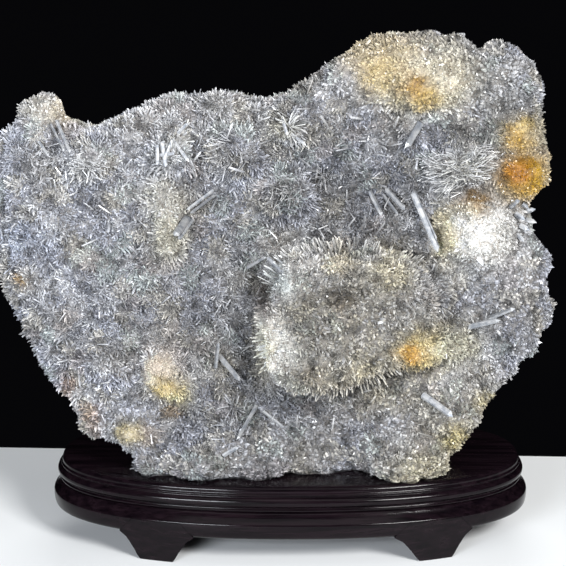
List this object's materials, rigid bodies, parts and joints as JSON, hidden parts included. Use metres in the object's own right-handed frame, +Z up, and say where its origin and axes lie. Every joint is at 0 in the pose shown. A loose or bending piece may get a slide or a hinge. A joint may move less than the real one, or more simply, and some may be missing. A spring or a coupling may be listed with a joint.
{
  "type": "quartz crystal cluster",
  "caption": "Upright plate of needle quartz with iron-stained tufts, standing in the carved socket of a dark lacquered two-tier oval wooden stand on bracket feet",
  "frame": {"origin": "centre of the whole object's footprint box, on the surface that the four feet stand on", "axes": "+X to the right along the plate's width, +Y away from the plate's crystal face, +Z up"},
  "size_m": [0.346, 0.1506, 0.3083],
  "materials": {
    "quartz": "milky to smoky clear needle crystals with cream, yellow and orange iron stains",
    "lacquered_wood": "very dark red-brown hardwood under gloss lacquer"
  },
  "bodies": {
    "root": {"quartz_cluster": "quartz", "stand_platform": "lacquered_wood", "stand_base": "lacquered_wood", "foot_front_left": "lacquered_wood", "foot_front_right": "lacquered_wood", "foot_back_left": "lacquered_wood", "foot_back_right": "lacquered_wood"}
  },
  "joints": []
}
